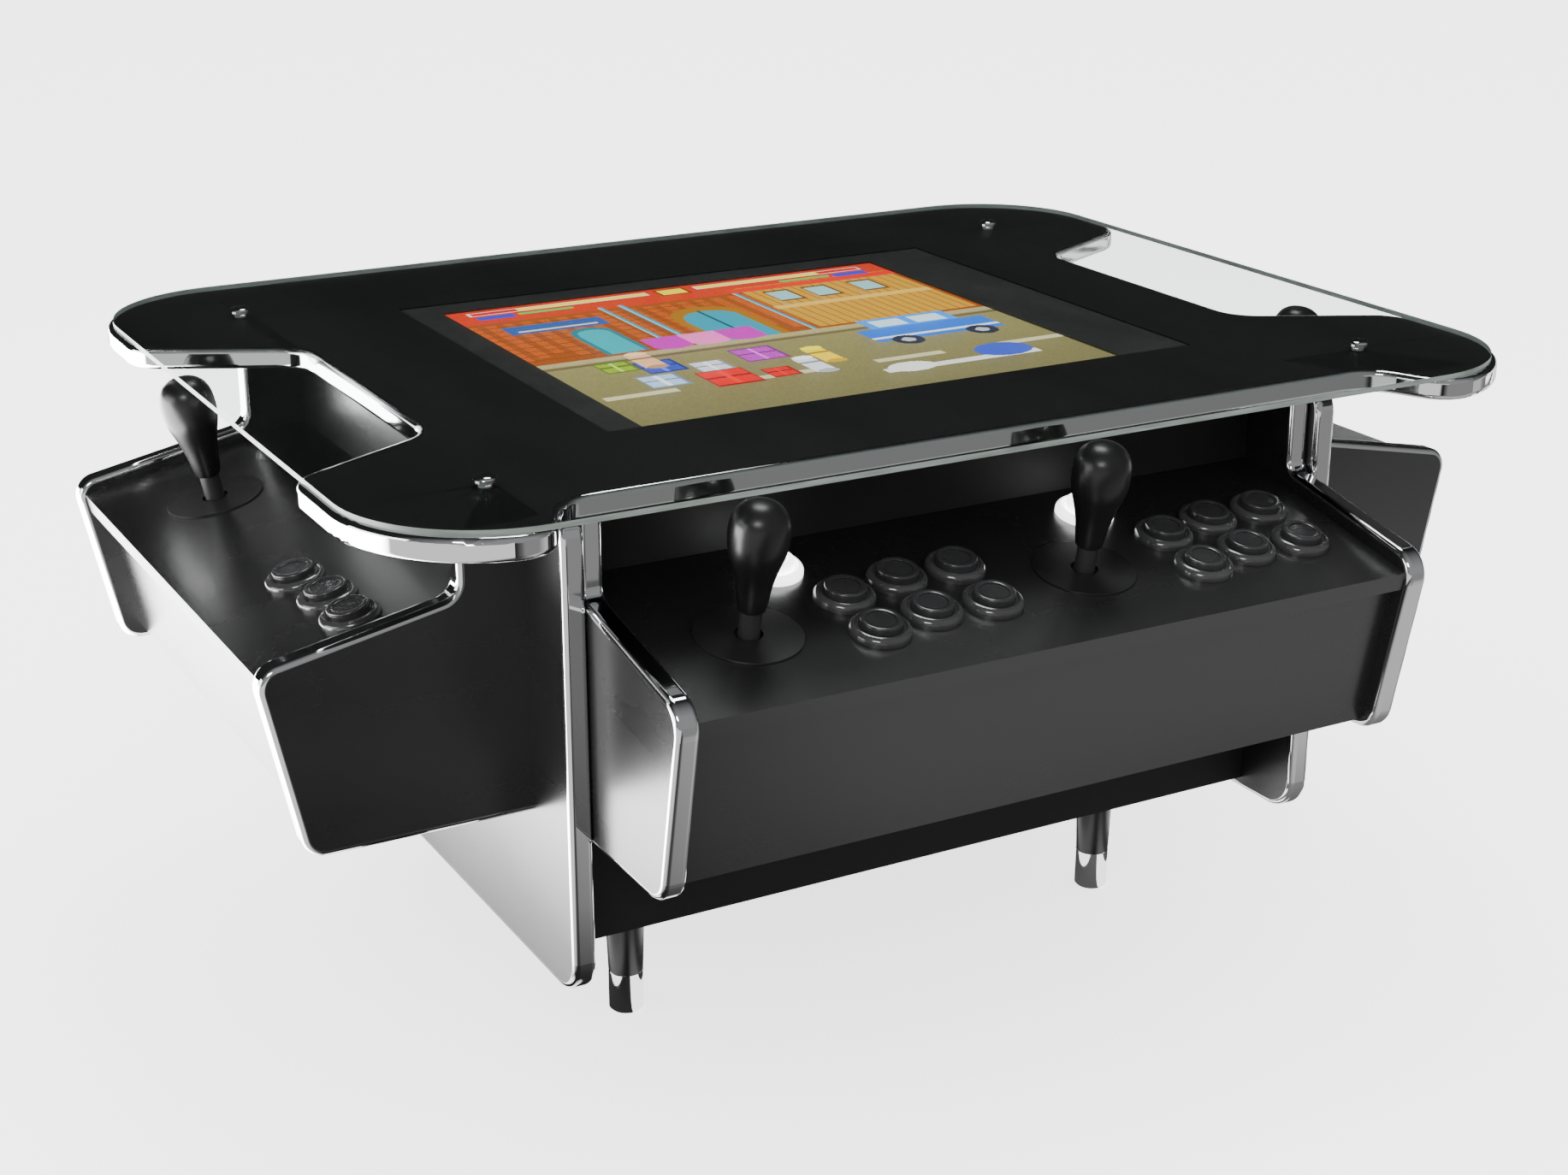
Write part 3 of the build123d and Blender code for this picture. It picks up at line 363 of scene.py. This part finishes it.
def market():
    """Awnings, crates, barrels and a hand cart in bright colours."""
    for x, colour in ((0.26, (0.55, 0.12, 0.48)), (0.34, (0.85, 0.35, 0.62)), (0.42, (0.55, 0.12, 0.48))):
        paint(x, 0.52, x + 0.08, 0.60, colour, 0.15)
        disc(x + 0.04, 0.52, 0.04, 0.025, colour)
    crates = (
        (0.10, 0.38, 0.07, (0.30, 0.40, 0.10)), (0.17, 0.34, 0.08, (0.10, 0.14, 0.45)),
        (0.26, 0.30, 0.07, (0.72, 0.74, 0.80)), (0.24, 0.19, 0.10, (0.62, 0.04, 0.03)),
        (0.37, 0.33, 0.09, (0.50, 0.16, 0.50)), (0.36, 0.20, 0.06, (0.60, 0.05, 0.04)),
        (0.13, 0.24, 0.08, (0.55, 0.66, 0.80)),
    )
    for x, y, side, colour in crates:
        tall = side * 1.15
        shadow = tuple(c * 0.45 for c in colour)
        strap = tuple(min(1, c * 1.5 + 0.1) for c in colour)
        paint(x, y, x + side, y + tall, shadow)
        paint(x + 0.006, y + 0.008, x + side - 0.006, y + tall - 0.006, colour, 0.25)
        paint(x + 0.006, y + tall * 0.5, x + side - 0.006, y + tall * 0.5 + 0.008, shadow)
        paint(x + side * 0.45, y + 0.008, x + side * 0.55, y + tall - 0.006, strap)
    barrels = (
        (0.47, 0.25, (0.78, 0.80, 0.84)),
        (0.52, 0.31, (0.90, 0.66, 0.10)),
        (0.205, 0.44, (0.80, 0.55, 0.40)),
    )
    for x, y, colour in barrels:
        paint(x - 0.022, y - 0.055, x + 0.022, y + 0.055, colour, 0.2)
        disc(x, y + 0.055, 0.022, 0.014, tuple(min(1, c * 1.3) for c in colour))
        disc(x, y - 0.055, 0.022, 0.014, tuple(c * 0.6 for c in colour))
        paint(x - 0.022, y + 0.015, x + 0.022, y + 0.026, tuple(c * 0.35 for c in colour))
    paint(0.66, 0.34, 0.95, 0.44, (0.10, 0.24, 0.62), 0.15)
    paint(0.70, 0.44, 0.90, 0.52, (0.16, 0.38, 0.78), 0.15)
    paint(0.72, 0.45, 0.79, 0.505, (0.72, 0.86, 0.92))
    paint(0.81, 0.45, 0.88, 0.505, (0.72, 0.86, 0.92))
    paint(0.66, 0.36, 0.95, 0.375, (0.84, 0.85, 0.86))
    for x in (0.72, 0.89):
        disc(x, 0.33, 0.032, 0.036, (0.03, 0.03, 0.04))
        disc(x, 0.33, 0.014, 0.016, (0.55, 0.55, 0.58))
    paint(0.56, 0.12, 0.90, 0.15, (0.80, 0.80, 0.78), 0.15)
    disc(0.62, 0.14, 0.05, 0.035, (0.86, 0.86, 0.84))
    disc(0.84, 0.17, 0.06, 0.05, (0.12, 0.16, 0.50))


def bars():
    """Two level bars and a plain counter at the top of the picture."""
    for x0, x1, inward in ((0.05, 0.44, 1), (0.56, 0.95, -1)):
        paint(x0 - 0.006, 0.955, x1 + 0.006, 0.985, (0.80, 0.80, 0.78))
        paint(x0, 0.960, x1, 0.980, (0.55, 0.06, 0.03))
        full = (x0 + 0.10, x1) if inward > 0 else (x0, x1 - 0.10)
        paint(full[0], 0.960, full[1], 0.980, (0.86, 0.74, 0.16))
    paint(0.465, 0.935, 0.535, 0.992, (0.20, 0.09, 0.03))
    paint(0.472, 0.942, 0.528, 0.985, (0.88, 0.70, 0.16))
    paint(0.05, 0.915, 0.13, 0.945, (0.10, 0.12, 0.50))
    paint(0.87, 0.915, 0.95, 0.945, (0.10, 0.12, 0.50))
    paint(0.14, 0.925, 0.26, 0.940, (0.12, 0.55, 0.18))
    paint(0.74, 0.925, 0.86, 0.940, (0.12, 0.55, 0.18))


street()
market()
bars()
plain = canvas.mean(axis=2, keepdims=True)
canvas = np.clip(plain + (canvas - plain) * VIVID, 0, 1) ** CONTRAST


def picture():
    """The picture as a sheet of square dots, one colour each."""
    xs = np.linspace(*PICTURE_X, COLUMNS + 1)
    ys = np.linspace(*PICTURE_Y, ROWS + 1)
    level = panel_top + PICTURE_LIFT
    grid_x, grid_y = np.meshgrid(xs, ys)
    points = np.stack([grid_x, grid_y, np.full_like(grid_x, level)], -1).reshape(-1, 3)
    row, column = np.mgrid[0:ROWS, 0:COLUMNS]
    first = (row * (COLUMNS + 1) + column).ravel()
    faces = np.stack([first, first + 1, first + COLUMNS + 2, first + COLUMNS + 1], -1)
    mesh = bpy.data.meshes.new("screen_picture")
    mesh.from_pydata(points.tolist(), [], faces.tolist())
    colours = np.repeat(np.concatenate([canvas.reshape(-1, 3), np.ones((ROWS * COLUMNS, 1))], 1), 4, 0)
    layer = mesh.color_attributes.new("dots", "FLOAT_COLOR", "CORNER")
    layer.data.foreach_set("color", colours.ravel())
    material, tree, shader = new_material("screen_picture", Roughness=0.35)
    shader.inputs["Base Color"].default_value = (0.01, 0.01, 0.01, 1)
    dots = node(tree, "ShaderNodeVertexColor", layer_name="dots").outputs["Color"]
    tree.links.new(dots, shader.inputs["Emission Color"])
    shader.inputs["Emission Strength"].default_value = PICTURE_LIGHT
    mesh.materials.append(material)
    made = bpy.data.objects.new("screen_picture", mesh)
    bpy.context.collection.objects.link(made)
    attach(made, "cabinet")


picture()

# --- stage: floor, light and camera ------------------------------------------------------------
# Faces of the part reflect a floor of their own, drawn as levels along X and Y in metres. Each span is
# (start, end, stops), and each stop is (place between start and end, level).
FLOOR_SIZE = 40
FLOOR_GAIN = 18.0          # strength of the reflected floor at level 1
FLOOR_LIFT = 2.2           # light added to the floor as the camera sees it
LEG_X = 0.19
STRIPE = 0.095             # pitch of the stripes that the ferrules reflect
GLOW_BY_X = (-0.80, -0.30, ((0.0, 1.0), (0.6, 1.0), (0.85, 0.01), (1.0, 0.003)))
GLOW_BY_Y = (-1.0, 0.0, ((0.0, 0.014), (0.32, 0.032), (0.5, 0.032), (0.62, 0.014), (1.0, 0.003)))
LEFT_SPAN = (-0.22, -0.06, ((0.0, 0.05), (1.0, 1.0)))
FASCIA_SPAN = (-0.25, 0.05, ((0.0, 0.1), (1.0, 1.0)))
UNDER_CABINET = (-0.24, -0.18, ((0.0, 0.0), (1.0, 0.15)))
bpy.ops.mesh.primitive_plane_add(size=FLOOR_SIZE, location=(0, 0, 0))
floor = bpy.context.object
floor.name = "floor"
floor_material, floor_tree, floor_shader = new_material("pale_floor", Roughness=0.6)
floor_shader.inputs["Base Color"].default_value = (0.86, 0.86, 0.86, 1)
floor_shader.inputs["Specular IOR Level"].default_value = 0.2
light_path = node(floor_tree, "ShaderNodeLightPath")
mirrored = light_path.outputs["Is Glossy Ray"]
floor_point = node(floor_tree, "ShaderNodeSeparateXYZ", {"Vector": object_point(floor_tree)})


def floor_glow(axis, start, end, stops):
    """Level of the floor's glow along one axis."""
    place = spread(floor_tree, floor_point.outputs[axis], 0, 1, start, end)
    ramp = node(floor_tree, "ShaderNodeValToRGB", {"Fac": place})
    elements = ramp.color_ramp.elements
    for index in (0, -1):
        position, level = stops[index]
        elements[index].position = position
        elements[index].color = (*grey(level), 1)
    for position, level in stops[1:-1]:
        elements.new(position).color = (*grey(level), 1)
    return ramp.outputs["Color"]


def floor_math(operation, first, second):
    return node(floor_tree, "ShaderNodeMath", {0: first, 1: second}, operation=operation).outputs[0]


before_fascia = floor_math("MULTIPLY", floor_glow("Y", *GLOW_BY_Y), floor_glow("X", *FASCIA_SPAN))
from_leg = floor_math("SUBTRACT", floor_point.outputs["X"], LEG_X)
stripe = floor_math("FRACT", floor_math("DIVIDE", from_leg, STRIPE), 0.0)
beside_leg = floor_math("MULTIPLY", floor_math("LESS_THAN", stripe, 0.5), floor_glow("Y", *UNDER_CABINET))
left_of_cabinet = floor_math("MULTIPLY", floor_glow("X", *GLOW_BY_X), floor_glow("Y", *LEFT_SPAN))
lighter = floor_math("MAXIMUM", floor_math("MAXIMUM", left_of_cabinet, before_fascia), beside_leg)
gain = floor_math("MULTIPLY", lighter, FLOOR_GAIN)
glow = node(floor_tree, "ShaderNodeEmission", {"Color": (1, 1, 1, 1), "Strength": gain})
floor_mix = node(
    floor_tree, "ShaderNodeMixShader",
    {0: mirrored, 1: floor_shader.outputs["BSDF"], 2: glow.outputs["Emission"]},
)
lift_level = floor_math("MULTIPLY", light_path.outputs["Is Camera Ray"], FLOOR_LIFT)
lift = node(floor_tree, "ShaderNodeEmission", {"Color": (1, 1, 1, 1), "Strength": lift_level})
floor_sum = node(
    floor_tree, "ShaderNodeAddShader", {0: floor_mix.outputs["Shader"], 1: lift.outputs["Emission"]}
)
floor_tree.links.new(floor_sum.outputs["Shader"], floor_tree.nodes["Material Output"].inputs["Surface"])
floor.data.materials.append(floor_material)


def softbox(name, place, target, size, power):
    """A rectangular area light aimed at a point."""
    light = bpy.data.lights.new(name, "AREA")
    light.shape = "RECTANGLE"
    light.size, light.size_y = size
    light.energy = power
    made = bpy.data.objects.new(name, light)
    made.location = place
    made.rotation_euler = (Vector(target) - Vector(place)).to_track_quat("-Z", "Y").to_euler()
    bpy.context.collection.objects.link(made)


softbox("left_box", (-2.6, 0.3, 0.75), (0, 0.1, 0.25), (2.2, 0.9), 30)
softbox("front_box", (-1.6, -2.2, 1.9), (0, 0, 0.25), (0.9, 0.6), 26)
softbox("top_box", (0.5, 0.6, 3.0), (0, 0, 0.3), (1.0, 1.0), 34)

SKY_LIGHT = 2.4            # strength of the room as a diffuse light
SKY_SEEN = 4.4             # and behind the object, as the camera sees it
SKY_NEAR = 0.28            # strength as reflected, on the camera's side
SKY_FAR = 0.015            # and on the far side
world = bpy.data.worlds.new("studio")
bpy.context.scene.world = world
world.use_nodes = True
sky = world.node_tree
sky.nodes.clear()
path = node(sky, "ShaderNodeLightPath")
direction = node(sky, "ShaderNodeTexCoord").outputs["Generated"]
toward = node(sky, "ShaderNodeSeparateXYZ", {"Vector": direction})
near_side = spread(sky, toward.outputs["Y"], SKY_NEAR, SKY_FAR, -0.7, 0.1)
backdrop = spread(sky, path.outputs["Is Camera Ray"], SKY_LIGHT, SKY_SEEN, 0.0, 1.0)
seen = node(sky, "ShaderNodeBackground", {"Color": (0.98, 0.98, 0.98, 1), "Strength": backdrop})
dim = node(sky, "ShaderNodeBackground", {"Color": (0.96, 0.98, 1.0, 1), "Strength": near_side})
both = node(
    sky, "ShaderNodeMixShader",
    {0: path.outputs["Is Glossy Ray"], 1: seen.outputs["Background"], 2: dim.outputs["Background"]},
)
output = node(sky, "ShaderNodeOutputWorld")
sky.links.new(both.outputs["Shader"], output.inputs["Surface"])

CAMERA_PLACE = (-0.8063, -1.4652 + top_centre_y, 0.8334)
CAMERA_DOWN = 0.3482       # radians below level
CAMERA_RIGHT = 0.5028      # radians to the right of straight ahead
camera = bpy.data.cameras.new("camera")
camera.lens = 56.91
camera.sensor_width = 36.0
eye = bpy.data.objects.new("camera", camera)
eye.location = CAMERA_PLACE
eye.rotation_euler = (math.pi / 2 - CAMERA_DOWN, 0, -CAMERA_RIGHT)
bpy.context.collection.objects.link(eye)
bpy.context.scene.camera = eye
